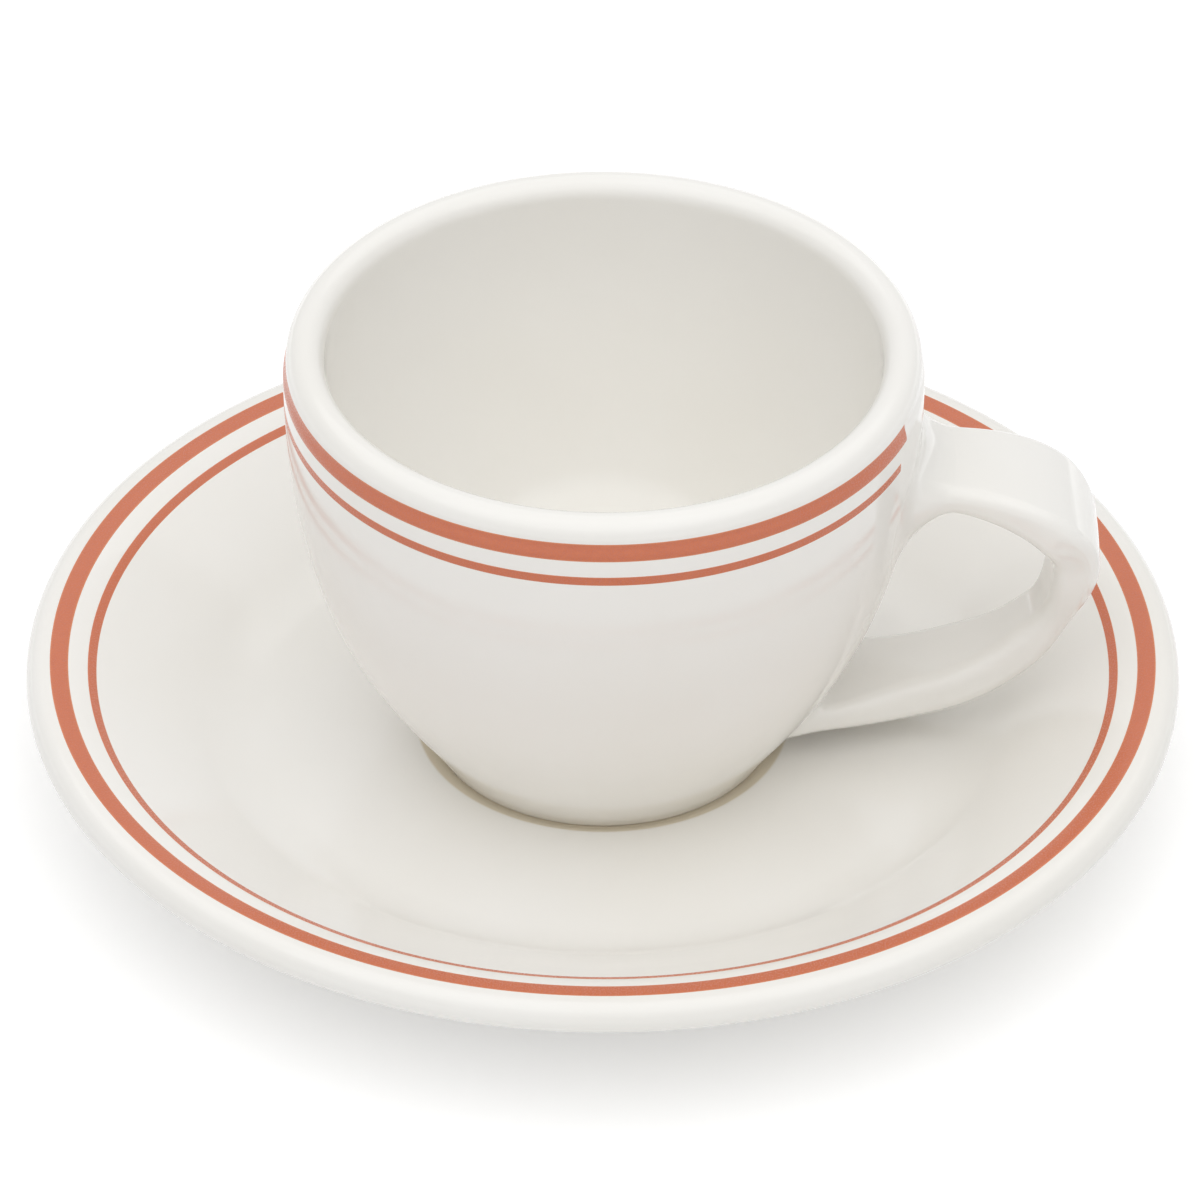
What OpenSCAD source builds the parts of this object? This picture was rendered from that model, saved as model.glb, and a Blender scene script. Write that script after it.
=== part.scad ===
// Espresso cup and its saucer in thick glazed stoneware, each with a wide and a narrow printed band.
// The origin is the centre of the saucer's foot on the table, with +Z up. The handle points along +X.
// All lengths are in millimetres.

/* [Saucer] */
// Outer diameter of the saucer
saucer_d = 120; // [112:1:132]
// Height of the rim's top above the well floor
saucer_depth = 9.3; // [7.5:0.1:11]
// Slope of the dished wall
saucer_wall_angle = 29; // [25:1:33]
// Thickness of the dished wall, measured square to it
saucer_wall_t = 3.4; // [2.8:0.1:4]
// Thickness of the base under the well
saucer_base_t = 4; // [3:0.1:5]
// Radius that blends the well floor into the wall
well_fillet_r = 14; // [10:0.5:18]
// Depth of the cup's seat below the well floor
seat_depth = 0.6; // [0.4:0.1:1.2]
// Clearance between the cup's foot and the edge of the seat's floor
seat_clearance = 0.15; // [0.05:0.05:0.5]
// Level width of the slope from the seat's floor up to the well floor
seat_slope_w = 1.4; // [0.8:0.1:2.2]
// Radius of the crown that rolls the wall over into the rim
rim_crown_r = 11; // [8:0.5:13]
// Distance from the rim's highest line to its outer edge
rim_crown_in = 1.7; // [1.2:0.1:2.4]
// Height of the rim's edge above its widest line
rim_upper_h = 2; // [1.4:0.1:2.6]
// Height of the rim's edge below its widest line
rim_lower_h = 1.4; // [1:0.1:2]
// Distance of the foot ring in from where the underside starts to rise
saucer_foot_in = 1.9; // [1:0.1:4]
// Width of the foot ring where it stands
saucer_foot_w = 2.4; // [1.6:0.1:3.5]
// Height of the foot ring
saucer_foot_h = 2.6; // [1.8:0.1:3.5]

/* [Cup] */
// Height of the cup
cup_h = 48.6; // [46:0.2:52]
// Largest diameter of the cup
cup_d = 65.2; // [62:0.2:68]
// Distance from the lip's top down to the cup's largest diameter
cup_widest_drop = 4; // [3:0.1:7]
// How far the wall draws in between its widest line and the lip
lip_draw_in = 0.3; // [0:0.05:0.6]
// Thickness of the rounded lip
lip_t = 3.9; // [3.2:0.1:4.6]
// Diameter of the cup where its wall rises from the foot
cup_foot_d = 35.9; // [34:0.1:38]
// Angle from upright at which the wall leaves the foot
cup_foot_angle = 29.5; // [26:0.5:34]
// Width of the foot ring around the hollow under the cup
cup_foot_w = 2.6; // [1.8:0.1:3.5]
// Height of that hollow
cup_hollow_h = 1.7; // [1.2:0.1:2.2]
// Thickness of the cup's floor above the hollow
cup_floor_t = 5; // [4:0.1:6]

/* [Handle] */
// Distance from the cup's axis to the strap's middle line, just below its round bend
handle_reach = 48.5; // [47:0.1:51]
// Height of that point above the cup's foot
handle_bend_h = 21.9; // [20.5:0.1:23.5]
// Angle from upright at which the strap runs down and inwards there
bend_lean = 12.5; // [9:0.5:16]
// Height of the upper root's middle line above the cup's foot
upper_root_h = 32.9; // [31.6:0.1:34.6]
// Height of the lower root's middle line above the cup's foot
lower_root_h = 4.8; // [4.7:0.1:6.6]
// Angle at which the lower run rises away from the cup
lower_root_angle = 3; // [2:0.5:6]
// Width of the strap at the upper root
upper_root_w = 12.4; // [10:0.2:13]
// Width of the thumb rest
thumb_rest_w = 14.2; // [12:0.2:16]
// Width of the strap where it narrows towards its bend
narrowing_w = 11.1; // [10:0.1:13]
// Width of the strap at its narrow bend
bend_w = 7.4; // [6:0.2:9]
// Width of the strap along its lower run
lower_run_w = 10.4; // [8:0.2:12]
// Width of the strap at the lower root
lower_root_w = 13.8; // [11:0.2:14.8]
// Thickness of the strap past the thumb rest
thumb_rest_t = 4.7; // [3.6:0.1:5.4]
// Thickness of the strap at its narrow bend
bend_t = 3.5; // [3.2:0.1:4.6]
// Thickness of the strap along its lower run
lower_run_t = 4.6; // [3.8:0.1:5.4]
// Thickness of the strap at the roots
root_t = 2.8; // [2.6:0.1:3.8]

/* [Bands] */
// Width of the cup's wide band
cup_wide_band_w = 1.9; // [1.4:0.1:2.4]
// Width of the cup's narrow band
cup_narrow_band_w = 1; // [0.6:0.1:1.3]
// Distance from the lip's top down to the wide band
cup_band_drop = 2.1; // [2:0.1:3]
// Distance between the cup's two bands
cup_band_gap = 1.9; // [1.4:0.1:2.6]
// Angle that the wide band leaves bare on either side of the handle
wide_band_bare_angle = 21; // [17:0.5:26]
// Angle that the narrow band leaves bare on either side of the handle
narrow_band_bare_angle = 23.5; // [17:0.5:28]
// Width of the saucer's wide band, measured level
saucer_wide_band_w = 1.9; // [1.4:0.1:2.4]
// Width of the saucer's narrow band, measured level
saucer_narrow_band_w = 0.9; // [0.6:0.05:1.3]
// Distance from the saucer's edge in to the wide band
saucer_band_in = 2.5; // [2.2:0.1:3.2]
// Distance between the saucer's two bands
saucer_band_gap = 2; // [1.4:0.1:2.6]
// Depth of the printed bands in the glaze
band_t = 0.25; // [0.2:0.05:0.4]

/* [Hidden] */

// Overrun of every cut past the face that it opens
overrun = 1;
// Steps along a small rounding, along a long curve and around a turned piece
round_steps = 8;
curve_steps = 28;
turn_steps = 120;
// Colours of the glaze and of the printed bands
glaze_color = [0.90, 0.89, 0.86];
band_color = [0.80, 0.45, 0.33];

// Saucer: radii and levels that follow from the sizes above
saucer_r = saucer_d / 2;
well_z = saucer_foot_h + saucer_base_t;
seat_z = well_z - seat_depth;
seat_r = cup_foot_d / 2 + seat_clearance;
rim_top_z = well_z + saucer_depth;
edge_z = rim_top_z - rim_upper_h;
crown_x = saucer_r - rim_crown_in;
crown_end = [crown_x - rim_crown_r * sin(saucer_wall_angle),
    rim_top_z - rim_crown_r * (1 - cos(saucer_wall_angle))];
fillet_rise = well_fillet_r * (1 - cos(saucer_wall_angle));
fillet_run = well_fillet_r * sin(saucer_wall_angle);
well_r = crown_end[0] - fillet_run - (crown_end[1] - well_z - fillet_rise) / tan(saucer_wall_angle);

// Saucer's underside: the wall's lower face lies one thickness below its upper face
rim_under_in = 1.6;
under_fillet_r = 8;
foot_ring_lean = 0.5;
foot_ring_round = 0.5;
under_top = crown_end + saucer_wall_t * [sin(saucer_wall_angle), -cos(saucer_wall_angle)];
under_fillet_rise = under_fillet_r * (1 - cos(saucer_wall_angle));
under_flat_r = under_top[0] - (under_top[1] - saucer_foot_h - under_fillet_rise) / tan(saucer_wall_angle)
    - under_fillet_r * sin(saucer_wall_angle);
saucer_foot_r = under_flat_r - saucer_foot_in;
saucer_wide_band_r = saucer_r - saucer_band_in;
saucer_narrow_band_r = saucer_wide_band_r - saucer_wide_band_w - saucer_band_gap;

// Cup: heights here are above its foot, and the cup stands on the seat's floor
cup_r = cup_d / 2;
cup_foot_r = cup_foot_d / 2;
foot_round = 0.4;
wall_start_h = foot_round * (1 - sin(cup_foot_angle));
lip_r = lip_t / 2;
lip_x = cup_r - lip_draw_in - lip_r;
lip_z = cup_h - lip_r;
cup_widest_h = cup_h - cup_widest_drop;
inner_floor_h = cup_hollow_h + cup_floor_t;
// Pull of the wall's curve at its foot and at its widest line, as shares of the height between them
wall_pull_shares = [0.209, 0.634];
// Pull of the inside's curve below the lip and along the floor, as shares of its depth and of its radius
inside_pull_shares = [0.76, 0.77];
wall_span = cup_widest_h - wall_start_h;
cup_wide_band_h = cup_h - cup_band_drop;
cup_narrow_band_h = cup_wide_band_h - cup_wide_band_w - cup_band_gap;

// Handle: the strap runs from the upper root over the thumb rest and the narrow bend to the lower root
// Pulls of its two curves, as shares of the strap's run past the widest wall and of the rise between roots
upper_pull_shares = [0.563, 0.236];
lower_pull_shares = [0.176, 0.917];
// Radius of the strap's long edges where it is flat and where it is round, and the most that it may be
// as a share of the thickness
flat_edge_r = 1.3;
round_edge_r = 1.7;
edge_most_share = 0.48;
// Places where the strap's width and its edges' radius are given, as shares of its length
width_at_shares = [0, 0.248, 0.36, 0.519, 0.754, 1];
strap_widths = [upper_root_w, thumb_rest_w, narrowing_w, bend_w, lower_run_w, lower_root_w];
strap_edges = [flat_edge_r, flat_edge_r, flat_edge_r, round_edge_r, round_edge_r, flat_edge_r];
// Places where its thickness is given
thickness_at_shares = [0, 0.339, 0.482, 0.58, 0.75, 1];
strap_thicknesses = [root_t, thumb_rest_t, bend_t, lower_run_t, lower_run_t, root_t];
// Swell of the strap where it joins the wall: at its sides, on its outer face and on its inner face
upper_swell = [2, 1.3, 3.2];
lower_swell = [1.2, 0, 1.4];
// Reach of that swell along the strap, how quickly it dies away, and its further growth inside the wall
swell_reach = 5;
swell_power = 2.4;
swell_inside_share = 0.5;
// Depth of the strap's ends past the wall's line, and how much of it has the full swell
root_depth = 5;
root_full = 0.6;
strap_steps = 16;
root_steps = 4;
corner_steps = 4;
handle_run = handle_reach - cup_r;
handle_rise = upper_root_h - lower_root_h;

// Points on an arc about [x, z], from one angle to another
function arc(x, z, r, from, to, steps = round_steps) =
    [for (i = [0:steps]) let (a = from + (to - from) * i / steps) [x + r * cos(a), z + r * sin(a)]];

// Points on a quarter ellipse about [x, z]
function quarter(x, z, rx, rz, from, steps = round_steps) =
    [for (i = [0:steps]) let (a = from - 90 * i / steps) [x + rx * cos(a), z + rz * sin(a)]];

// Point on a cubic curve, and the direction of the curve there
function curve_point(p, t) = pow(1 - t, 3) * p[0] + 3 * pow(1 - t, 2) * t * p[1]
    + 3 * (1 - t) * t * t * p[2] + pow(t, 3) * p[3];
function curve_way(p, t) = pow(1 - t, 2) * (p[1] - p[0]) + 2 * (1 - t) * t * (p[2] - p[1])
    + t * t * (p[3] - p[2]);
function curve(p, steps) = [for (i = [0:steps]) curve_point(p, i / steps)];

// Outlines of the turned pieces, as points of [radius, height]
saucer_points = concat(
    [[0, seat_z], [seat_r, seat_z], [seat_r + seat_slope_w, well_z]],
    arc(well_r, well_z + well_fillet_r, well_fillet_r, -90, saucer_wall_angle - 90, curve_steps / 2),
    arc(crown_x, rim_top_z - rim_crown_r, rim_crown_r, 90 + saucer_wall_angle, 90, curve_steps / 2),
    quarter(crown_x, edge_z, rim_crown_in, rim_upper_h, 90),
    quarter(saucer_r - rim_under_in, edge_z, rim_under_in, rim_lower_h, 0),
    [under_top],
    arc(under_flat_r, saucer_foot_h + under_fillet_r, under_fillet_r, saucer_wall_angle - 90, -90),
    [[saucer_foot_r, saucer_foot_h]],
    arc(saucer_foot_r - foot_ring_lean - foot_ring_round, foot_ring_round, foot_ring_round, 0, -90),
    arc(saucer_foot_r - foot_ring_lean - saucer_foot_w + foot_ring_round, foot_ring_round,
        foot_ring_round, -90, -180),
    [[saucer_foot_r - saucer_foot_w - 2 * foot_ring_lean, saucer_foot_h], [0, saucer_foot_h]]);

wall_curve = [[cup_foot_r, wall_start_h],
    [cup_foot_r, wall_start_h]
        + wall_span * wall_pull_shares[0] * [sin(cup_foot_angle), cos(cup_foot_angle)],
    [cup_r, cup_widest_h - wall_span * wall_pull_shares[1]],
    [cup_r, cup_widest_h]];
lip_curve = [[cup_r, cup_widest_h],
    [cup_r, (cup_widest_h + lip_z) / 2],
    [cup_r - lip_draw_in, (cup_widest_h + lip_z) / 2],
    [cup_r - lip_draw_in, lip_z]];
inside_curve = [[lip_x - lip_r, lip_z],
    [lip_x - lip_r, lip_z - (lip_z - inner_floor_h) * inside_pull_shares[0]],
    [(lip_x - lip_r) * inside_pull_shares[1], inner_floor_h],
    [0, inner_floor_h]];

// Outer side of the cup, from the foot ring's standing edge up to the lip's inner side
cup_outer_points = concat(
    arc(cup_foot_r - foot_round * cos(cup_foot_angle), foot_round, foot_round, -90, -cup_foot_angle),
    curve(wall_curve, curve_steps),
    curve(lip_curve, round_steps),
    arc(lip_x, lip_z, lip_r, 0, 180, 2 * round_steps));

cup_section_points = concat(
    cup_outer_points,
    curve(inside_curve, curve_steps),
    [[0, cup_hollow_h], [cup_foot_r - cup_foot_w - foot_round, cup_hollow_h]],
    arc(cup_foot_r - cup_foot_w + foot_round, foot_round, foot_round, 180, 270));

// Middle line of the strap as points of [distance from the axis, height]
lower_start = [cup_foot_r + (lower_root_h - wall_start_h) * tan(cup_foot_angle), lower_root_h];
lower_way = [cos(lower_root_angle), sin(lower_root_angle)];
bend_point = [handle_reach, handle_bend_h];
bend_way = [sin(bend_lean), cos(bend_lean)];
upper_curve = [[cup_r, upper_root_h],
    [cup_r + handle_run * upper_pull_shares[0], upper_root_h],
    bend_point + handle_rise * upper_pull_shares[1] * bend_way,
    bend_point];
lower_curve = [bend_point,
    bend_point - handle_rise * lower_pull_shares[0] * bend_way,
    lower_start + (handle_reach - lower_start[0]) * lower_pull_shares[1] * lower_way,
    lower_start];

// Stations along the strap, each a point of the middle line and the direction there
stations = concat(
    [for (i = [0:root_steps - 1]) [[cup_r - root_depth * (1 - i / root_steps), upper_root_h], [1, 0]]],
    [for (i = [0:strap_steps - 1]) let (t = i / strap_steps)
        [curve_point(upper_curve, t), unit(curve_way(upper_curve, t))]],
    [for (i = [0:strap_steps - 1]) let (t = i / strap_steps)
        [curve_point(lower_curve, t), unit(curve_way(lower_curve, t))]],
    [for (i = [0:root_steps]) [lower_start - root_depth * i / root_steps * lower_way, -lower_way]]);
station_count = len(stations);

// Length of the middle line up to each station, from the upper root's wall
station_run = [for (i = 0, run = -root_depth; i < station_count;
    i = i + 1, run = run + (i < station_count ? norm(stations[i][0] - stations[i - 1][0]) : 0)) run];
strap_length = station_run[station_count - 1] - root_depth;

function unit(v) = v / norm(v);

// Value that eases from one named place to the next
function eased(share, at, values, i = 0) = share > at[i + 1] && i < len(at) - 2
    ? eased(share, at, values, i + 1)
    : let (t = max(0, min(1, (share - at[i]) / (at[i + 1] - at[i]))))
        values[i] + (values[i + 1] - values[i]) * (1 - cos(180 * t)) / 2;

// Swell at a distance from the wall's line, negative inside the wall
function swell(distance, most) = let (d = distance + root_full)
    d < 0 ? most * (1 - swell_inside_share * d / root_depth)
    : most * pow(max(0, 1 - d / swell_reach), swell_power);

// One corner of the strap's section about [y, z]
function corner(y, z, ry, rz, from) =
    [for (i = [0:corner_steps]) let (a = from + 90 * i / corner_steps) [y + ry * cos(a), z + rz * sin(a)]];

// Section of the strap as [sideways, outwards] points, with the swell added on each side
function strap_section(w, t, edge_r, more) =
    let (r = min(edge_r, t * edge_most_share), y = w / 2 - r, z = t / 2 - r)
    concat(corner(y, z, r + more[0], r + more[1], 0), corner(-y, z, r + more[0], r + more[1], 90),
        corner(-y, -z, r + more[0], r + more[2], 180), corner(y, -z, r + more[0], r + more[2], 270));

// Points of the ring at one station
function strap_ring(i) =
    let (point = stations[i][0], way = stations[i][1], share = station_run[i] / strap_length,
        more = swell(station_run[i], upper_swell) + swell(strap_length - station_run[i], lower_swell))
    [for (p = strap_section(eased(share, width_at_shares, strap_widths),
            eased(share, thickness_at_shares, strap_thicknesses),
            eased(share, width_at_shares, strap_edges), more))
        [point[0] - p[1] * way[1], p[0], point[1] + p[1] * way[0]]];

module saucer_section() {
    polygon(saucer_points);
}

module cup_section() {
    polygon(cup_section_points);
}

// Solid outline of the cup, as if it were full to the lip
module cup_outline() {
    polygon(concat([[0, 0]], cup_outer_points, [[0, lip_z]]));
}

// Groove for a band of the saucer, from its outer radius inwards
module saucer_groove(outer_r, w) {
    difference() {
        translate([outer_r - w, rim_top_z - saucer_depth / 2]) square([w, saucer_depth / 2 + overrun]);
        translate([0, -band_t]) saucer_section();
    }
}

// Groove for a band of the cup, from its top edge down
module cup_groove(top_h, w) {
    difference() {
        translate([lip_x - lip_r, top_h - w]) square([lip_t + lip_draw_in + overrun, w]);
        translate([-band_t, 0]) cup_outline();
    }
}

// Turns an outline about the cup's axis, leaving an angle bare on either side of the handle
module cup_turned_band(bare_angle) {
    translate([0, 0, seat_z]) rotate([0, 0, bare_angle])
        rotate_extrude(angle = 360 - 2 * bare_angle, $fn = turn_steps) children();
}

module saucer() {
    color(glaze_color) rotate_extrude($fn = turn_steps) difference() {
        saucer_section();
        saucer_groove(saucer_wide_band_r, saucer_wide_band_w);
        saucer_groove(saucer_narrow_band_r, saucer_narrow_band_w);
    }
}

module saucer_wide_band() {
    color(band_color) rotate_extrude($fn = turn_steps) intersection() {
        saucer_section();
        saucer_groove(saucer_wide_band_r, saucer_wide_band_w);
    }
}

module saucer_narrow_band() {
    color(band_color) rotate_extrude($fn = turn_steps) intersection() {
        saucer_section();
        saucer_groove(saucer_narrow_band_r, saucer_narrow_band_w);
    }
}

module cup_body() {
    color(glaze_color) difference() {
        translate([0, 0, seat_z]) rotate_extrude($fn = turn_steps) cup_section();
        cup_turned_band(wide_band_bare_angle) cup_groove(cup_wide_band_h, cup_wide_band_w);
        cup_turned_band(narrow_band_bare_angle) cup_groove(cup_narrow_band_h, cup_narrow_band_w);
    }
}

// The strap runs on into the wall, and the cup's outline cuts it off where it meets the wall
module cup_handle() {
    rings = [for (i = [0:station_count - 1]) strap_ring(i)];
    n = len(rings[0]);
    color(glaze_color) translate([0, 0, seat_z]) difference() {
        polyhedron(points = [for (ring = rings) each ring], faces = concat(
            [[for (j = [0:n - 1]) j]],
            [for (i = [1:station_count - 1]) for (j = [0:n - 1]) let (k = (j + 1) % n)
                each [[(i - 1) * n + j, i * n + j, i * n + k],
                    [(i - 1) * n + j, i * n + k, (i - 1) * n + k]]],
            [[for (j = [1:n]) station_count * n - j]]));
        rotate_extrude($fn = turn_steps) cup_outline();
    }
}

module cup_wide_band() {
    color(band_color) cup_turned_band(wide_band_bare_angle) intersection() {
        cup_outline();
        cup_groove(cup_wide_band_h, cup_wide_band_w);
    }
}

module cup_narrow_band() {
    color(band_color) cup_turned_band(narrow_band_bare_angle) intersection() {
        cup_outline();
        cup_groove(cup_narrow_band_h, cup_narrow_band_w);
    }
}

saucer();
saucer_wide_band();
saucer_narrow_band();
cup_body();
cup_handle();
cup_wide_band();
cup_narrow_band();
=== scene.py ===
# Espresso cup standing on its saucer: thick warm-white glaze, with a wide and a narrow terracotta band
# round both. It stands in the frame of its solids. Sizes in the dictionaries are in millimetres and
# degrees, unless a note says otherwise.
import math

import bpy
import bmesh
from mathutils import Matrix, Vector


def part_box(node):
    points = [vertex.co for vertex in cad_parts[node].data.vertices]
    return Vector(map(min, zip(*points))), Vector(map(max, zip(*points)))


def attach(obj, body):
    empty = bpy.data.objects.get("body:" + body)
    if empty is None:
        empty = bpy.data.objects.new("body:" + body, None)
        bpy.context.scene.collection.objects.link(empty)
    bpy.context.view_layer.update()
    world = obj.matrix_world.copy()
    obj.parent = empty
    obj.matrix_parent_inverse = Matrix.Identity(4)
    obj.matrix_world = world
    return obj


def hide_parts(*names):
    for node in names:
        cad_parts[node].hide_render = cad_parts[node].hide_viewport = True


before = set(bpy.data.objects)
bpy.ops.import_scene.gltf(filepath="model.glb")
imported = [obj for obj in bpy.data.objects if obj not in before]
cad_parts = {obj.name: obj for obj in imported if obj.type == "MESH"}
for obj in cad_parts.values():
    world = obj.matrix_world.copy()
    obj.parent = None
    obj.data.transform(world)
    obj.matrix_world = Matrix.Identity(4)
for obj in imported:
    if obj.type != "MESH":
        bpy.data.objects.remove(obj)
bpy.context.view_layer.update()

mm = 0.001
tiny = 1e-9

# Where the solids stand, read from the frame
saucerLow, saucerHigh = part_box("saucer")
cupLow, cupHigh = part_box("cup_body")
saucerRadius = (saucerHigh.y - saucerLow.y) / 2 / mm
rimTop = saucerHigh.z / mm
seatFloor = cupLow.z / mm
cupHeight = (cupHigh.z - cupLow.z) / mm
cupRadius = (cupHigh.y - cupLow.y) / 2 / mm
print("frame: saucer radius %.2f, rim %.2f, seat floor %.2f, cup %.2f high, radius %.2f"
      % (saucerRadius, rimTop, seatFloor, cupHeight, cupRadius))


# Outlines are lists of (radius, height)

def arcPoints(x, z, radius, start, end, steps):
    turns = [math.radians(start + (end - start) * i / steps) for i in range(steps + 1)]
    return [(x + radius * math.cos(a), z + radius * math.sin(a)) for a in turns]


def quarterPoints(x, z, width, height, start, steps):
    turns = [math.radians(start - 90 * i / steps) for i in range(steps + 1)]
    return [(x + width * math.cos(a), z + height * math.sin(a)) for a in turns]


def curvePoint(points, t):
    weights = ((1 - t) ** 3, 3 * (1 - t) ** 2 * t, 3 * (1 - t) * t * t, t ** 3)
    return tuple(sum(w * p[k] for w, p in zip(weights, points)) for k in (0, 1))


def curvePoints(points, steps):
    return [curvePoint(points, i / steps) for i in range(steps + 1)]


def roundedCorner(before, corner, after, reach, steps=5):
    a, b, c = Vector(before), Vector(corner), Vector(after)
    start = b + (a - b).normalized() * reach
    end = b + (c - b).normalized() * reach
    shares = [i / steps for i in range(steps + 1)]
    return [tuple(start.lerp(b, t).lerp(b.lerp(end, t), t)) for t in shares]


def withoutRepeats(points, least=0.002):
    kept = [points[0]]
    for p in points[1:]:
        if math.dist(p, kept[-1]) > least:
            kept.append(p)
    return kept


def stretchBetween(points, low, high, axis, steps):
    # Even points along an outline between two values of one coordinate
    run = sorted(points, key=lambda p: p[axis])
    found = []
    for i in range(steps + 1):
        value = low + (high - low) * i / steps
        k = next((k for k in range(1, len(run)) if run[k][axis] >= value), len(run) - 1)
        a, b = run[k - 1], run[k]
        t = (value - a[axis]) / max(b[axis] - a[axis], tiny)
        found.append((a[0] + (b[0] - a[0]) * t, a[1] + (b[1] - a[1]) * t))
    return found


def finishMesh(bm, name, sharpAngle=50):
    bmesh.ops.recalc_face_normals(bm, faces=bm.faces)
    mesh = bpy.data.meshes.new(name)
    bm.to_mesh(mesh)
    bm.free()
    mesh.polygons.foreach_set("use_smooth", [True] * len(mesh.polygons))
    mesh.set_sharp_from_angle(angle=math.radians(sharpAngle))
    piece = bpy.data.objects.new(name, mesh)
    bpy.context.scene.collection.objects.link(piece)
    return piece


def turned(name, outline, segments, base=0.0, bareAngle=0.0, across=None):
    # Turns an outline about the axis. It runs from axis to axis, or else it is a closed loop.
    # With a bare angle, that much is left open on either side of the handle and the ends are closed.
    # A list of shares across the piece is kept on its points for the material.
    whole = bareAngle == 0
    count = segments if whole else segments + 1
    turns = [math.radians(bareAngle + (360 - 2 * bareAngle) * i / segments) for i in range(count)]
    bm = bmesh.new()
    layer = bm.verts.layers.float.new("across") if across else None
    rings = []
    for i, (r, z) in enumerate(outline):
        height = (z + base) * mm
        if r < tiny:
            rings.append([bm.verts.new((0, 0, height))])
            continue
        ring = [bm.verts.new((r * math.cos(a) * mm, r * math.sin(a) * mm, height)) for a in turns]
        if layer:
            for v in ring:
                v[layer] = across[i]
        rings.append(ring)
    pairs = list(zip(rings, rings[1:]))
    if len(rings[0]) > 1:
        pairs.append((rings[-1], rings[0]))
    for low, high in pairs:
        for j in range(segments):
            k = (j + 1) % count
            if len(low) == 1:
                bm.faces.new((low[0], high[j], high[k]))
            elif len(high) == 1:
                bm.faces.new((low[j], high[0], low[k]))
            else:
                bm.faces.new((low[j], high[j], high[k], low[k]))
    if not whole:
        bm.faces.new([ring[0] for ring in rings])
        bm.faces.new([ring[-1] for ring in rings])
    return finishMesh(bm, name)


# Saucer

saucerSize = {
    "segments": 288,
    "seatDepth": 0.6,
    "seatRadius": 18.1,
    "seatSlope": 1.4,
    "seatEdge": 0.25,
    "wallSlope": 29,
    "wallThickness": 3.4,
    "wellFillet": 14,
    "crownRadius": 11,
    "crownIn": 1.7,
    "rimUpper": 2.0,
    "rimLower": 1.4,
    "rimUnderIn": 1.6,
    "underFillet": 8,
    "underRimRound": 1.2,
    "footHeight": 2.6,
    "footWidth": 2.4,
    "footIn": 1.9,
    "footLean": 0.5,
    "footRound": 0.5,
    "footFillet": 0.6,
    "wellSteps": 20,
    "crownSteps": 24,
    "rimSteps": 14,
    "underSteps": 10,
    "footSteps": 6,
    "bareBelow": 0.3,  # the foot ring is wiped bare of glaze up to here
    "paintedShadeRing": (17.6, 19.5),  # radii of the seat ring that is painted darker and warmer as painted shade under the cup's overhanging wall
}


def saucerOutline(s):
    # Upper side from the middle to the edge, and the whole outline back to the middle underneath
    slope = math.radians(s["wallSlope"])
    wellFloor = seatFloor + s["seatDepth"]
    edge = rimTop - s["rimUpper"]
    crown = saucerRadius - s["crownIn"]
    crownEnd = (crown - s["crownRadius"] * math.sin(slope),
                rimTop - s["crownRadius"] * (1 - math.cos(slope)))
    wellRise = s["wellFillet"] * (1 - math.cos(slope))
    well = crownEnd[0] - s["wellFillet"] * math.sin(slope)
    well -= (crownEnd[1] - wellFloor - wellRise) / math.tan(slope)
    seatInner = (s["seatRadius"], seatFloor)
    seatOuter = (s["seatRadius"] + s["seatSlope"], wellFloor)
    upper = [(0, seatFloor), (s["seatRadius"] / 2, seatFloor)]
    upper += roundedCorner(upper[-1], seatInner, seatOuter, s["seatEdge"])
    upper += roundedCorner(seatInner, seatOuter, (well, wellFloor), s["seatEdge"])
    upper += [((seatOuter[0] + well) / 2, wellFloor)]
    upper += arcPoints(well, wellFloor + s["wellFillet"], s["wellFillet"],
                       -90, s["wallSlope"] - 90, s["wellSteps"])
    upper += arcPoints(crown, rimTop - s["crownRadius"], s["crownRadius"],
                       90 + s["wallSlope"], 90, s["crownSteps"])
    upper += quarterPoints(crown, edge, s["crownIn"], s["rimUpper"], 90, s["rimSteps"])

    footTop = s["footHeight"]
    underTop = (crownEnd[0] + s["wallThickness"] * math.sin(slope),
                crownEnd[1] - s["wallThickness"] * math.cos(slope))
    underRise = s["underFillet"] * (1 - math.cos(slope))
    flat = underTop[0] - s["underFillet"] * math.sin(slope)
    flat -= (underTop[1] - footTop - underRise) / math.tan(slope)
    foot = flat - s["footIn"]
    footInside = foot - s["footWidth"] - 2 * s["footLean"]
    lower = quarterPoints(saucerRadius - s["rimUnderIn"], edge, s["rimUnderIn"], s["rimLower"],
                          0, s["underSteps"])
    lower += roundedCorner(lower[-1], underTop, (flat, footTop), s["underRimRound"])
    lower += arcPoints(flat, footTop + s["underFillet"], s["underFillet"],
                       s["wallSlope"] - 90, -90, s["underSteps"])
    ringOut = foot - s["footLean"] - s["footRound"]
    ringIn = footInside + s["footLean"] + s["footRound"]
    ring = arcPoints(ringOut, s["footRound"], s["footRound"], 0, -90, s["footSteps"])
    ring += arcPoints(ringIn, s["footRound"], s["footRound"], -90, -180, s["footSteps"])
    lower += roundedCorner((flat, footTop), (foot, footTop), ring[0], s["footFillet"])
    lower += ring
    lower += roundedCorner(ring[-1], (footInside, footTop), (0, footTop), s["footFillet"])
    lower += [(footInside / 2, footTop), (0, footTop)]
    return withoutRepeats(upper), withoutRepeats(upper + lower)


saucerTop, saucerWhole = saucerOutline(saucerSize)
saucer = turned("saucer_glazed", saucerWhole, saucerSize["segments"])
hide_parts("saucer")
print("saucer: %d points round its outline" % len(saucerWhole))


# Cup, with heights above its foot

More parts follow.
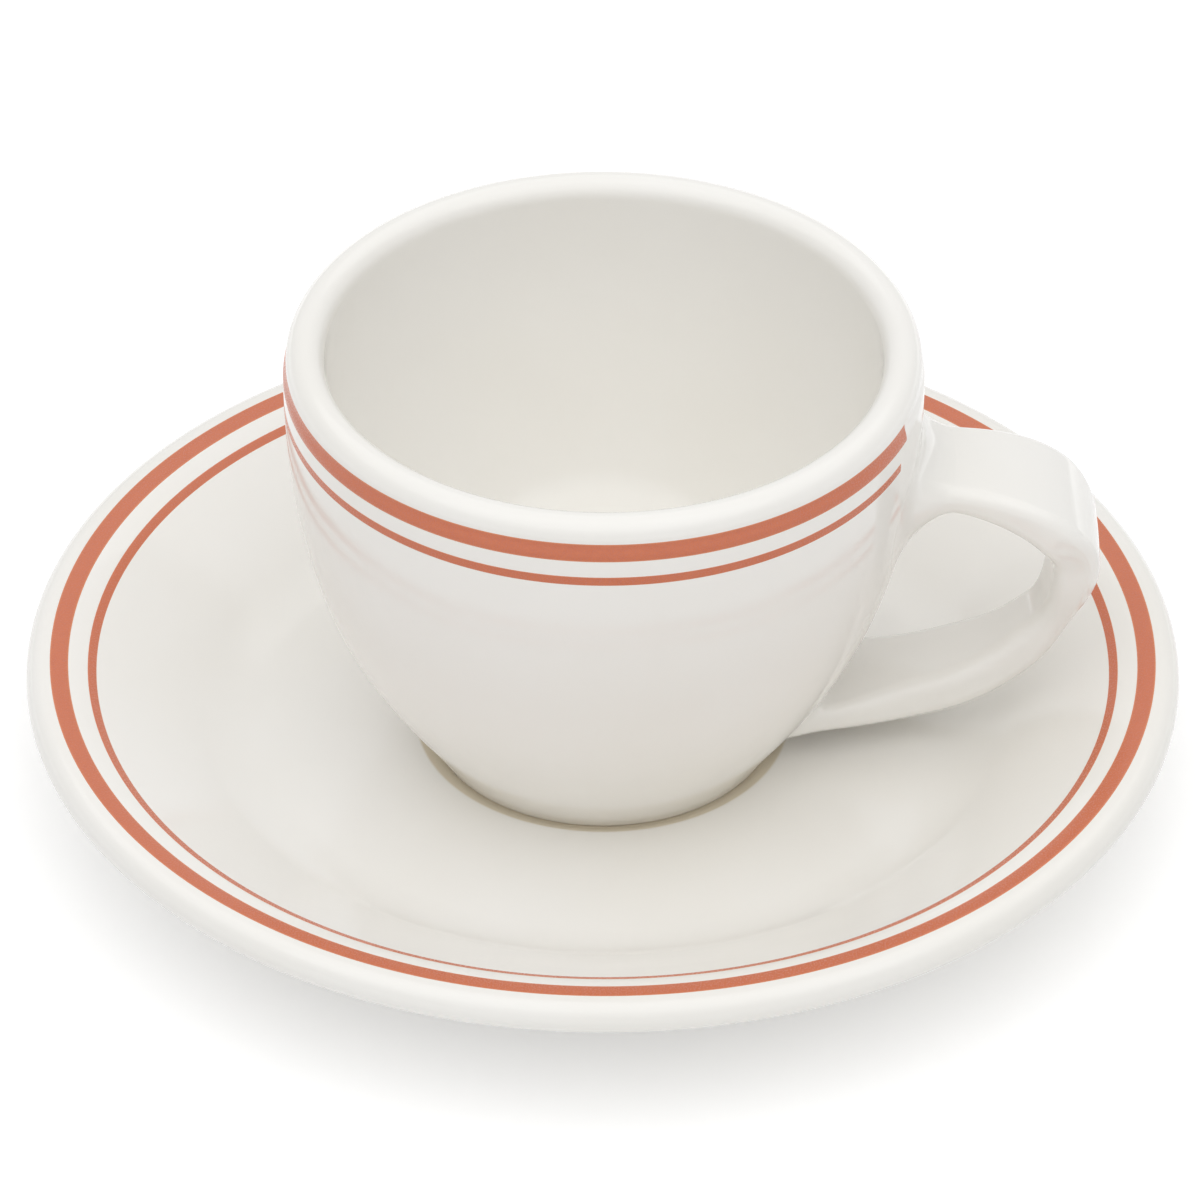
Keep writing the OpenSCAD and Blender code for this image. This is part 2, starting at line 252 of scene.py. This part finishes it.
cupSize = {
    "segments": 256,
    "widestDrop": 4,
    "lipDrawIn": 0.3,
    "lipThickness": 3.9,
    "footRadius": 17.95,
    "footAngle": 29.5,
    "footRound": 0.4,
    "footWidth": 2.6,
    "hollowHeight": 1.7,
    "floorThickness": 5,
    "wallPull": (0.209, 0.634),
    "insidePull": (0.76, 0.77),
    "wallSteps": 64,
    "lipWallSteps": 12,
    "insideSteps": 72,
    "lipSteps": 32,
    "footSteps": 6,
    "bareBelow": 0.15,  # the foot is wiped bare of glaze up to here
}


def wallStart(c):
    return c["footRound"] * (1 - math.sin(math.radians(c["footAngle"])))


def cupOutline(c):
    # Outer wall from the foot up to the lip, and the whole outline from the inside down to the hollow
    lip = c["lipThickness"] / 2
    lipX = cupRadius - c["lipDrawIn"] - lip
    lipZ = cupHeight - lip
    lean = math.radians(c["footAngle"])
    widest = cupHeight - c["widestDrop"]
    base = (c["footRadius"], wallStart(c))
    span = widest - base[1]
    pull = span * c["wallPull"][0]
    wall = curvePoints([base, (base[0] + pull * math.sin(lean), base[1] + pull * math.cos(lean)),
                        (cupRadius, widest - span * c["wallPull"][1]), (cupRadius, widest)], c["wallSteps"])
    middle = (widest + lipZ) / 2
    wall += curvePoints([wall[-1], (cupRadius, middle), (lipX + lip, middle), (lipX + lip, lipZ)],
                        c["lipWallSteps"])
    wall = withoutRepeats(wall)
    floor = c["hollowHeight"] + c["floorThickness"]
    inside = curvePoints([(0, floor), ((lipX - lip) * c["insidePull"][1], floor),
                          (lipX - lip, lipZ - (lipZ - floor) * c["insidePull"][0]), (lipX - lip, lipZ)],
                         c["insideSteps"])
    lipRound = arcPoints(lipX, lipZ, lip, 180, 0, c["lipSteps"])
    rounding = c["footRound"]
    inFoot = c["footRadius"] - c["footWidth"]
    foot = arcPoints(base[0] - rounding * math.cos(lean), rounding, rounding,
                     -c["footAngle"], -90, c["footSteps"])
    foot += arcPoints(inFoot + rounding, rounding, rounding, 270, 180, c["footSteps"])
    foot += [(inFoot - rounding, c["hollowHeight"]), (inFoot / 2, c["hollowHeight"]), (0, c["hollowHeight"])]
    return wall, withoutRepeats(inside + lipRound + wall[:0:-1] + foot)


cupWall, cupWhole = cupOutline(cupSize)
cup = turned("cup_glazed", cupWhole, cupSize["segments"], base=seatFloor)
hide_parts("cup_body")
print("cup: %d points round its outline" % len(cupWhole))


# Handle: a strap that leaves the wall level, bends down and runs back to the foot of the wall.
# Lists give places along the strap, from the upper root over the thumb rest and the bend to the lower root.

handleSize = {
    "reach": 48.5,
    "bendHeight": 21.9,
    "bendLean": 12.5,
    "upperRootHeight": 32.9,
    "lowerRootHeight": 4.8,
    "lowerRootAngle": 3,
    "upperPull": (0.563, 0.236),
    "lowerPull": (0.176, 0.917),
    "widths": (12.4, 14.2, 11.1, 7.4, 10.4, 13.8),
    "edges": (1.3, 1.3, 1.3, 1.7, 1.7, 1.3),
    "widthAt": (0, 0.248, 0.36, 0.519, 0.754, 1),
    "thicknesses": (2.8, 4.7, 3.5, 4.6, 4.6, 2.8),
    "thicknessAt": (0, 0.339, 0.482, 0.58, 0.75, 1),
    "edgeMost": 0.48,
    "crown": 0.12,
    "upperSwell": (2, 1.3, 3.2),
    "lowerSwell": (1.2, 0, 1.4),
    "swellReach": 5,
    "swellPower": 2.4,
    "swellFull": 0.6,
    "upperFillet": 4,
    "lowerFillet": 1.6,
    "landingProud": 0.008,
    "skirtOut": 0.05,  # the fillet's edge goes on this far and then dips into the wall
    "skirtDepth": 0.5,
    "clearRun": 0.12,
    "rootDepth": 5,
    "rootStations": 16,
    "stations": 64,
    "filletSteps": 14,
    "broadSteps": 20,
    "sideSteps": 4,
    "cornerSteps": 14,
    "steps": 72,
    "spacing": 1.15,
}


def wallRadius(height):
    # Outer radius of the cup at a height above its foot
    for a, b in zip(cupWall, cupWall[1:]):
        if b[1] >= height:
            t = max(0.0, (height - a[1]) / max(b[1] - a[1], tiny))
            return a[0] + (b[0] - a[0]) * t
    return cupWall[-1][0]


def outsideWall(p):
    return math.hypot(p.x, p.y) - wallRadius(p.z)


def wallNormal(p, rise=0.05):
    lean = (wallRadius(p.z + rise) - wallRadius(p.z - rise)) / (2 * rise)
    around = Vector((p.x, p.y, 0)).normalized()
    return Vector((around.x, around.y, -lean)).normalized()


def ontoWall(p, proud=0.0, tries=6, share=0.97):
    for step in range(tries):
        p = p - wallNormal(p) * outsideWall(p) * share
    return p + wallNormal(p) * proud


def eased(share, places, values):
    for i in range(len(places) - 1):
        if share <= places[i + 1] or i == len(places) - 2:
            t = max(0.0, min(1.0, (share - places[i]) / (places[i + 1] - places[i])))
            return values[i] + (values[i + 1] - values[i]) * (1 - math.cos(math.pi * t)) / 2


def strapMiddle(h):
    # Points of the middle line from inside the wall to inside the wall, with the way and the run at each
    lean, base = math.radians(cupSize["footAngle"]), cupSize["footRadius"]
    start = (base + (h["lowerRootHeight"] - wallStart(cupSize)) * math.tan(lean), h["lowerRootHeight"])
    way = (math.cos(math.radians(h["lowerRootAngle"])), math.sin(math.radians(h["lowerRootAngle"])))
    run = h["reach"] - cupRadius
    rise = h["upperRootHeight"] - h["lowerRootHeight"]
    top, bend = h["upperRootHeight"], h["bendHeight"]
    tilt = math.radians(h["bendLean"])
    above, below = rise * h["upperPull"][1], -rise * h["lowerPull"][0]
    upper = [(cupRadius, top), (cupRadius + run * h["upperPull"][0], top),
             (h["reach"] + above * math.sin(tilt), bend + above * math.cos(tilt)), (h["reach"], bend)]
    pull = (h["reach"] - start[0]) * h["lowerPull"][1]
    lower = [(h["reach"], bend), (h["reach"] + below * math.sin(tilt), bend + below * math.cos(tilt)),
             (start[0] + way[0] * pull, start[1] + way[1] * pull), start]
    n, roots, depth = h["stations"], h["rootStations"], h["rootDepth"]
    line = [(cupRadius - depth * (1 - i / roots), top) for i in range(roots)]
    line += [curvePoint(upper, i / n) for i in range(n)]
    line += [curvePoint(lower, i / n) for i in range(n)]
    line += [(start[0] - way[0] * depth * i / roots, start[1] - way[1] * depth * i / roots)
             for i in range(roots + 1)]
    runs = [-depth]
    for a, b in zip(line, line[1:]):
        runs.append(runs[-1] + math.dist(a, b))
    ways = []
    for i in range(len(line)):
        a, b = line[max(i - 1, 0)], line[min(i + 1, len(line) - 1)]
        ways.append(Vector((b[0] - a[0], b[1] - a[1])).normalized())
    return line, ways, runs, runs[-1] - depth


def swellAt(distance, h, most):
    d = distance + h["swellFull"]
    if d < 0:
        return most
    return most * max(0.0, 1 - d / h["swellReach"]) ** h["swellPower"]


def strapSection(width, thickness, edge, more, h):
    # Rounded section as (sideways, outwards) points, with a slight crown on both broad sides
    r = min(edge, thickness * h["edgeMost"])
    y, z = width / 2 - r, thickness / 2 - r
    side, outer, inner = more
    corners = []
    for cx, cz, swell, start in ((y, z, outer, 0), (-y, z, outer, 90),
                                 (-y, -z, inner, 180), (y, -z, inner, 270)):
        turns = [math.radians(start + 90 * i / h["cornerSteps"]) for i in range(h["cornerSteps"] + 1)]
        corners.append([(cx + (r + side) * math.cos(a), cz + (r + swell) * math.sin(a)) for a in turns])
    points = []
    for k, corner in enumerate(corners):
        (x0, z0), (x1, z1) = corner[-1], corners[(k + 1) % 4][0]
        steps = h["sideSteps"] if k % 2 else h["broadSteps"]
        points += corner
        points += [(x0 + (x1 - x0) * i / steps, z0 + (z1 - z0) * i / steps) for i in range(1, steps)]
    crowned = []
    for x, out in points:
        lift = h["crown"] * max(0.0, 1 - (x / (width / 2)) ** 2)
        crowned.append((x, out + math.copysign(lift, out)))
    return crowned


def strapRails(h):
    # One line of points along the strap for each point of its section
    line, ways, runs, length = strapMiddle(h)
    rings = []
    for (x, z), way, run in zip(line, ways, runs):
        share = run / length
        more = [swellAt(run, h, a) + swellAt(length - run, h, b)
                for a, b in zip(h["upperSwell"], h["lowerSwell"])]
        section = strapSection(eased(share, h["widthAt"], h["widths"]),
                               eased(share, h["thicknessAt"], h["thicknesses"]),
                               eased(share, h["widthAt"], h["edges"]), more, h)
        rings.append([Vector((x - out * way.y, side, z + out * way.x)) for side, out in section])
    return [list(rail) for rail in zip(*rings)]


def pointAlong(rail, distance):
    for a, b in zip(rail, rail[1:]):
        step = (b - a).length
        if distance <= step:
            return a.lerp(b, distance / step)
        distance -= step
    return rail[-1]


def railFromWall(rail, centre, fillet, h, halvings=30):
    # The rail runs from inside the wall outwards. Its foot is turned out along the wall as a fillet.
    k = next(i for i in range(1, len(rail)) if outsideWall(rail[i]) > 0)
    low, high = rail[k - 1], rail[k]
    for i in range(halvings):
        half = (low + high) / 2
        if outsideWall(half) > 0:
            high = half
        else:
            low = half
    crossing = (low + high) / 2
    free = [crossing] + rail[k:]
    lift = pointAlong(free, fillet)
    normal = wallNormal(crossing)
    aside = crossing - centre
    aside = (aside - normal * aside.dot(normal)).normalized()
    landing = ontoWall(crossing + aside * fillet)
    foot = [ontoWall(landing + aside * h["skirtOut"], -h["skirtDepth"])]
    for i in range(h["filletSteps"] + 1):
        t = i / h["filletSteps"]
        onWall = ontoWall(landing.lerp(crossing, 1 - (1 - t) ** 2), h["landingProud"])
        foot.append(onWall + (lift - crossing) * t * t)
    left, distance = [], fillet
    for a, b in zip(free, free[1:]):
        distance -= (b - a).length
        if distance < -h["clearRun"]:
            left.append(b)
    return foot + left


def buildHandle(h):
    # Both halves of every rail run from their root to the strap's middle station
    rails = strapRails(h)
    line = strapMiddle(h)[0]
    half = len(line) // 2
    lowerStart = line[-h["rootStations"] - 1]
    upperCentre = ontoWall(Vector((cupRadius, 0, h["upperRootHeight"])))
    lowerCentre = ontoWall(Vector((lowerStart[0], 0, lowerStart[1])))
    uppers = [railFromWall(rail[:half + 1], upperCentre, h["upperFillet"], h) for rail in rails]
    lowers = [railFromWall(rail[:half - 1:-1], lowerCentre, h["lowerFillet"], h) for rail in rails]
    steps, rootPoints = h["steps"], h["filletSteps"] + 2

    def evened(rail):
        # Keeps the points of the root, then spaces the rest by share of the length left
        root, rest = rail[:rootPoints], rail[rootPoints - 1:]
        total = sum((b - a).length for a, b in zip(rest, rest[1:]))
        return root + [pointAlong(rest, total * (i / steps) ** h["spacing"]) for i in range(1, steps + 1)]

    bm = bmesh.new()
    foot = Vector((0, 0, seatFloor * mm))
    points = []
    for upper, lower in zip(uppers, lowers):
        points.append([bm.verts.new(p * mm + foot) for p in evened(upper) + evened(lower)[::-1][1:]])
    for j, a in enumerate(points):
        b = points[(j + 1) % len(points)]
        for i in range(len(a) - 1):
            bm.faces.new((a[i], a[i + 1], b[i + 1], b[i]))
    bm.faces.new([rail[0] for rail in points])
    bm.faces.new([rail[-1] for rail in points][::-1])
    return finishMesh(bm, "handle_glazed")


handle = buildHandle(handleSize)
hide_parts("cup_handle")
print("handle: %d faces" % len(handle.data.polygons))


# Bands: thin prints that follow the glaze, a hair proud of it and let into it.
# Each has its distance from the saucer's edge or the cup's lip, its width and, on the cup,
# the angle that it leaves bare on either side of the handle.

bandSize = {
    "proud": 0.02,
    "edgeProud": 0.004,
    "sunk": 0.12,
    "steps": 12,
    "saucerWide": (2.5, 1.9),
    "saucerNarrow": (6.4, 0.9),
    "cupWide": (2.1, 1.9, 21),
    "cupNarrow": (5.9, 1.0, 23.5),
}


def bandLoop(surface, outward):
    last = len(surface) - 1
    top, bottom = [], []
    for i, p in enumerate(surface):
        a, b = surface[max(i - 1, 0)], surface[min(i + 1, last)]
        along = Vector((b[0] - a[0], b[1] - a[1])).normalized()
        normal = Vector((-along.y, along.x)) * outward
        lift = bandSize["edgeProud"] if i in (0, last) else bandSize["proud"]
        top.append((p[0] + normal.x * lift, p[1] + normal.y * lift))
        bottom.append((p[0] - normal.x * bandSize["sunk"], p[1] - normal.y * bandSize["sunk"]))
    across = [i / last for i in range(last + 1)]
    return top + bottom[::-1], across + across[::-1]


def saucerBand(name, node, size):
    outer = saucerRadius - size[0]
    surface = stretchBetween(saucerTop, outer - size[1], outer, 0, bandSize["steps"])
    loop, across = bandLoop(surface, 1)
    band = turned(name, loop, saucerSize["segments"], across=across)
    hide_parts(node)
    return band


def cupBand(name, node, size):
    top = cupHeight - size[0]
    surface = stretchBetween(cupWall, top - size[1], top, 1, bandSize["steps"])
    loop, across = bandLoop(surface, -1)
    band = turned(name, loop, cupSize["segments"], base=seatFloor, bareAngle=size[2], across=across)
    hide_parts(node)
    return band


saucerBands = [saucerBand("saucer_wide_stripe", "saucer_wide_band", bandSize["saucerWide"]),
               saucerBand("saucer_narrow_stripe", "saucer_narrow_band", bandSize["saucerNarrow"])]
cupBands = [cupBand("cup_wide_stripe", "cup_wide_band", bandSize["cupWide"]),
            cupBand("cup_narrow_stripe", "cup_narrow_band", bandSize["cupNarrow"])]
print("bands: two on the saucer, two on the cup")


# Materials. Scales of the noises are per metre, and depths of the bumps are in metres.

glazeLook = {
    "pale": (0.93, 0.915, 0.88, 1),
    "warm": (0.915, 0.896, 0.85, 1),
    # painted shade: darker, warmer glaze colour for the seat ring in the shadow under the cup
    "paintedSeatShade": (0.82, 0.745, 0.60, 1),
    "biscuit": (0.60, 0.52, 0.42, 1),
    "biscuitDark": (0.50, 0.43, 0.34, 1),
    "toneScale": 28,
    "grainScale": 2600,
    "roughLow": 0.07,
    "roughHigh": 0.14,
    "roughScale": 160,
    "roughBare": 0.85,
    "wave": 0.10,
    "waveScale": 70,
    "waveDepth": 0.0012,
    "ringFadeIn": 1.2,
    "ringFadeOut": (0.2, 0.1),
    "ringUnder": 0.5,
    "ringUnderFade": 0.1,
    "bareFade": 0.08,
}

bandLook = {
    "clay": (0.65, 0.18, 0.08, 1),
    "deep": (0.57, 0.147, 0.071, 1),
    "fringe": (0.80, 0.34, 0.15, 1),
    "fringeShare": 0.55,
    "fringeWidth": 0.09,
    "speckleScale": 5200,
    "speckleSpan": (0.42, 0.62),
    "rough": 0.22,
    "roughMore": 0.08,
}

peel = {"scale": 900, "strength": 0.02, "depth": 0.0002}  # fine orange peel of glaze and print alike
glassIndex = 1.5


def addNode(tree, kind, **settings):
    node = tree.nodes.new(kind)
    for key, value in settings.items():
        setattr(node, key, value)
    return node


def newMaterial(name):
    material = bpy.data.materials.new(name)
    material.use_nodes = True
    tree = material.node_tree
    shader = tree.nodes["Principled BSDF"]
    place = addNode(tree, "ShaderNodeTexCoord").outputs["Object"]
    return material, tree, shader, place


def noiseOf(tree, place, scale, detail=2.0, rough=0.5):
    noise = addNode(tree, "ShaderNodeTexNoise")
    noise.inputs["Scale"].default_value = scale
    noise.inputs["Detail"].default_value = detail
    noise.inputs["Roughness"].default_value = rough
    tree.links.new(place, noise.inputs["Vector"])
    return noise.outputs["Fac"]


def spread(tree, value, low, high, fromLow=0.35, fromHigh=0.65):
    span = addNode(tree, "ShaderNodeMapRange")
    for key, number in (("From Min", fromLow), ("From Max", fromHigh), ("To Min", low), ("To Max", high)):
        span.inputs[key].default_value = number
    tree.links.new(value, span.inputs["Value"])
    return span.outputs["Result"]


def mixColours(tree, share, a, b):
    mix = addNode(tree, "ShaderNodeMix", data_type="RGBA")
    tree.links.new(share, mix.inputs["Factor"])
    for socket, colour in ((mix.inputs["A"], a), (mix.inputs["B"], b)):
        if isinstance(colour, tuple):
            socket.default_value = colour
        else:
            tree.links.new(colour, socket)
    return mix.outputs["Result"]


def bumped(tree, height, strength, depth, under=None):
    bump = addNode(tree, "ShaderNodeBump")
    bump.inputs["Strength"].default_value = strength
    bump.inputs["Distance"].default_value = depth
    tree.links.new(height, bump.inputs["Height"])
    if under:
        tree.links.new(under, bump.inputs["Normal"])
    return bump.outputs["Normal"]


def joined(tree, operation, a, b):
    node = addNode(tree, "ShaderNodeMath", operation=operation)
    tree.links.new(a, node.inputs[0])
    tree.links.new(b, node.inputs[1])
    return node.outputs["Value"]


def distanceFromAxis(tree, place):
    level = addNode(tree, "ShaderNodeVectorMath", operation="MULTIPLY")
    level.inputs[1].default_value = (1, 1, 0)
    tree.links.new(place, level.inputs[0])
    away = addNode(tree, "ShaderNodeVectorMath", operation="LENGTH")
    tree.links.new(level.outputs["Vector"], away.inputs[0])
    return away.outputs["Value"]


def glazeMaterial(name, bareBelow, paintedShadeRing=None):
    # Glaze over pale clay; below the given height the foot ring is wiped bare.
    # Between the two radii the upper side is painted darker and warmer: painted shade in the seat's recess
    # under the cup's wall.
    material, tree, shader, place = newMaterial(name)
    look = glazeLook
    tone = mixColours(tree, spread(tree, noiseOf(tree, place, look["toneScale"], 3), 0, 1),
                      look["pale"], look["warm"])
    split = addNode(tree, "ShaderNodeSeparateXYZ")
    tree.links.new(place, split.inputs["Vector"])
    height = split.outputs["Z"]
    # The ring gets painted shade, where the cup's wall overhangs the seat
    if paintedShadeRing:
        inner, outer = paintedShadeRing
        under = seatFloor - look["ringUnder"]
        away = distanceFromAxis(tree, place)
        within = spread(tree, away, 1, 0,
                        (outer - look["ringFadeOut"][0]) * mm, (outer + look["ringFadeOut"][1]) * mm)
        beyond = spread(tree, away, 0, 1, (inner - look["ringFadeIn"]) * mm, inner * mm)
        above = spread(tree, height, 0, 1, (under - look["ringUnderFade"]) * mm, under * mm)
        paintedSeatShade = joined(tree, "MULTIPLY", joined(tree, "MULTIPLY", within, beyond), above)
        tone = mixColours(tree, paintedSeatShade, tone, look["paintedSeatShade"])
    bare = spread(tree, height, 1, 0,
                  (bareBelow - look["bareFade"]) * mm, (bareBelow + look["bareFade"]) * mm)
    grain = noiseOf(tree, place, look["grainScale"], 4, 0.7)
    clay = mixColours(tree, grain, look["biscuit"], look["biscuitDark"])
    tree.links.new(mixColours(tree, bare, tone, clay), shader.inputs["Base Color"])
    smooth = spread(tree, noiseOf(tree, place, look["roughScale"]), look["roughLow"], look["roughHigh"])
    rough = addNode(tree, "ShaderNodeMix")
    tree.links.new(bare, rough.inputs["Factor"])
    tree.links.new(smooth, rough.inputs["A"])
    rough.inputs["B"].default_value = look["roughBare"]
    tree.links.new(rough.outputs["Result"], shader.inputs["Roughness"])
    wave = bumped(tree, noiseOf(tree, place, look["waveScale"], 1), look["wave"], look["waveDepth"])
    fine = bumped(tree, noiseOf(tree, place, peel["scale"]), peel["strength"], peel["depth"], wave)
    tree.links.new(fine, shader.inputs["Normal"])
    shader.inputs["IOR"].default_value = glassIndex
    return material


def bandMaterial(name):
    # Printed colour under the glaze, a little blotchy, with a thin bright fringe along both edges
    material, tree, shader, place = newMaterial(name)
    look = bandLook
    speckle = spread(tree, noiseOf(tree, place, look["speckleScale"], 2, 0.7), 0, 1, *look["speckleSpan"])
    tone = mixColours(tree, speckle, look["clay"], look["deep"])
    across = addNode(tree, "ShaderNodeAttribute", attribute_name="across").outputs["Fac"]
    fromEdge = addNode(tree, "ShaderNodeMath", operation="PINGPONG")
    fromEdge.inputs[1].default_value = 0.5
    tree.links.new(across, fromEdge.inputs[0])
    edge = spread(tree, fromEdge.outputs["Value"], look["fringeShare"], 0, 0, look["fringeWidth"])
    tree.links.new(mixColours(tree, edge, tone, look["fringe"]), shader.inputs["Base Color"])
    rough = spread(tree, speckle, look["rough"], look["rough"] + look["roughMore"], 0, 1)
    tree.links.new(rough, shader.inputs["Roughness"])
    fine = bumped(tree, noiseOf(tree, place, peel["scale"]), peel["strength"], peel["depth"])
    tree.links.new(fine, shader.inputs["Normal"])
    shader.inputs["IOR"].default_value = glassIndex
    return material


# The saucer's glaze carries painted shade on the seat ring under the cup
saucerGlaze = glazeMaterial("saucer_white_glaze", saucerSize["bareBelow"], saucerSize["paintedShadeRing"])
cupGlaze = glazeMaterial("cup_white_glaze", seatFloor + cupSize["bareBelow"])
stripe = bandMaterial("terracotta_stripe")
for piece, material in ((saucer, saucerGlaze), (cup, cupGlaze), (handle, cupGlaze)):
    piece.data.materials.append(material)
for piece in saucerBands + cupBands:
    piece.data.materials.append(stripe)
for piece in [saucer] + saucerBands:
    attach(piece, "saucer")
for piece in [cup, handle] + cupBands:
    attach(piece, "cup")
print("materials: glaze and stripes are on")


# Studio: pale floor, even white surround, broad soft lamps overhead and in front. Sizes are in metres.

studio = {
    "floorSize": 3.0,
    "floorColour": (0.93, 0.93, 0.93, 1),
    "floorShade": 0.99,
    "floorScale": 40,
    "floorRough": 0.9,
    "floorSheen": 0.1,
    "floorGlow": 0.275,
    "glowFrom": 0.12,
    "glowTo": 0.6,
    "surround": 0.44,
    "aim": (0, 0, 0.02),
    "lamps": {"overhead": {"place": (0, 0, 1.1), "size": 2.6, "power": 9.8},
              "front": {"place": (0, -0.55, 0.95), "size": 2.0, "power": 4.2}},
}


def seenDirectly(tree):
    # One for what the camera sees straight, in a reflection or through glass, and nothing for the light
    rays = addNode(tree, "ShaderNodeLightPath").outputs
    seen = joined(tree, "MAXIMUM", rays["Is Camera Ray"], rays["Is Glossy Ray"])
    return joined(tree, "MAXIMUM", seen, rays["Is Transmission Ray"])


def addFloor(s):
    half = s["floorSize"] / 2
    bm = bmesh.new()
    bm.faces.new([bm.verts.new((x * half, y * half, 0)) for x, y in ((-1, -1), (1, -1), (1, 1), (-1, 1))])
    floor = finishMesh(bm, "floor")
    material, tree, shader, place = newMaterial("pale_floor")
    shaded = tuple(c * s["floorShade"] for c in s["floorColour"])
    tone = mixColours(tree, noiseOf(tree, place, s["floorScale"], 3), s["floorColour"], shaded)
    tree.links.new(tone, shader.inputs["Base Color"])
    shader.inputs["Roughness"].default_value = s["floorRough"]
    shader.inputs["Specular IOR Level"].default_value = s["floorSheen"]
    # The floor brightens away from the object, so that it meets the surround without a horizon
    glow = spread(tree, distanceFromAxis(tree, place), s["floorGlow"], 1, s["glowFrom"], s["glowTo"])
    shader.inputs["Emission Color"].default_value = (1, 1, 1, 1)
    tree.links.new(joined(tree, "MULTIPLY", seenDirectly(tree), glow), shader.inputs["Emission Strength"])
    floor.data.materials.append(material)


def addSurround(s):
    world = bpy.data.worlds.new("studio")
    bpy.context.scene.world = world
    world.use_nodes = True
    tree = world.node_tree
    back = tree.nodes["Background"]
    level = addNode(tree, "ShaderNodeMix")
    tree.links.new(seenDirectly(tree), level.inputs["Factor"])
    level.inputs["A"].default_value = s["surround"]
    level.inputs["B"].default_value = 1
    back.inputs["Color"].default_value = (1, 1, 1, 1)
    tree.links.new(level.outputs["Result"], back.inputs["Strength"])


def addLamps(s):
    for name, values in s["lamps"].items():
        light = bpy.data.lights.new(name + "_lamp", "AREA")
        light.shape = "DISK"
        light.size = values["size"]
        light.energy = values["power"]
        lamp = bpy.data.objects.new(name + "_lamp", light)
        bpy.context.scene.collection.objects.link(lamp)
        lamp.location = values["place"]
        lamp.rotation_euler = (Vector(s["aim"]) - lamp.location).to_track_quat("-Z", "Y").to_euler()


addFloor(studio)
addSurround(studio)
addLamps(studio)
bpy.context.scene.view_settings.view_transform = "Standard"
print("studio: floor, surround and lamps")


# Camera, solved from the rims of cup and saucer. Its place is in metres, and lens and sensor in millimetres.

cameraSet = {
    "place": (0.0, -0.6857, 0.5298),
    "tilt": 53.4692,
    "roll": 0.2457,
    "pan": 0.0209,
    "lens": 246.9,
    "sensor": 36,
    "near": 0.05,
}


def addCamera(s):
    data = bpy.data.cameras.new("camera")
    data.sensor_width = s["sensor"]
    data.lens = s["lens"]
    data.clip_start = s["near"]
    camera = bpy.data.objects.new("camera", data)
    bpy.context.scene.collection.objects.link(camera)
    turn = Matrix.Rotation(math.radians(s["tilt"]), 4, "X") @ Matrix.Rotation(math.radians(s["roll"]), 4, "Z")
    turn = turn @ Matrix.Rotation(math.radians(s["pan"]), 4, "Y")
    camera.matrix_world = Matrix.Translation(s["place"]) @ turn
    bpy.context.scene.camera = camera


addCamera(cameraSet)
print("camera set")
